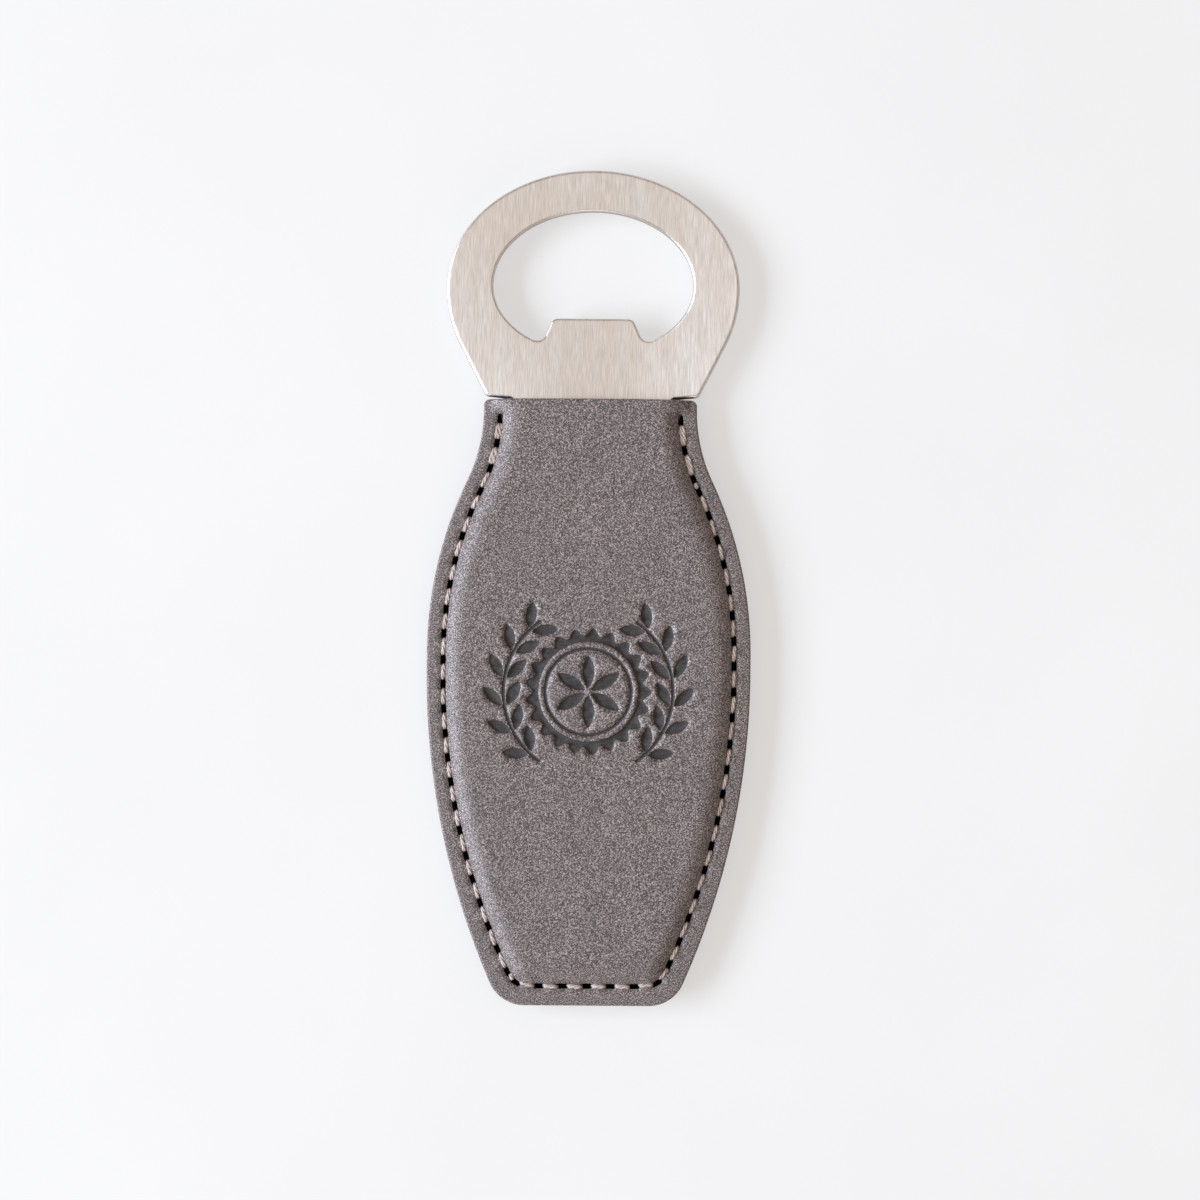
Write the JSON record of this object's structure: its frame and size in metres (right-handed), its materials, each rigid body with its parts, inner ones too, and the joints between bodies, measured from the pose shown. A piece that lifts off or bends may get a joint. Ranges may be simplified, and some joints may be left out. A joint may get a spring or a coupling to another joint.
{
  "type": "bottle opener",
  "caption": "Flat crown-cap opener: a stamped steel head with a wide cap hole and lifting tooth, on a stitched and padded leatherette handle.",
  "frame": {"origin": "under the middle of the object, on the plane that the back panel rests on", "axes": "+Y towards the steel head, +X to the right of the engraved front, +Z out of the front panel"},
  "size_m": [0.0516, 0.1334, 0.0054],
  "materials": {
    "steel": "brushed along the length, edges tumbled",
    "board": "pressed fibre board",
    "adhesive": "thin adhesive film",
    "foam": "soft closed-cell foam",
    "front_leatherette": "matte speckled leatherette, dark where engraved",
    "back_leatherette": "matte speckled leatherette",
    "thread": "twisted polyester sewing thread"
  },
  "bodies": {
    "root": {"opener_plate": "steel", "core_board": "board", "front_bond_film": "adhesive", "back_bond_film": "adhesive", "front_padding": "foam", "back_padding": "foam", "seam_tape": "adhesive", "front_cover": "front_leatherette", "back_cover": "back_leatherette", "needle_thread": "thread", "bobbin_thread": "thread"}
  },
  "joints": []
}
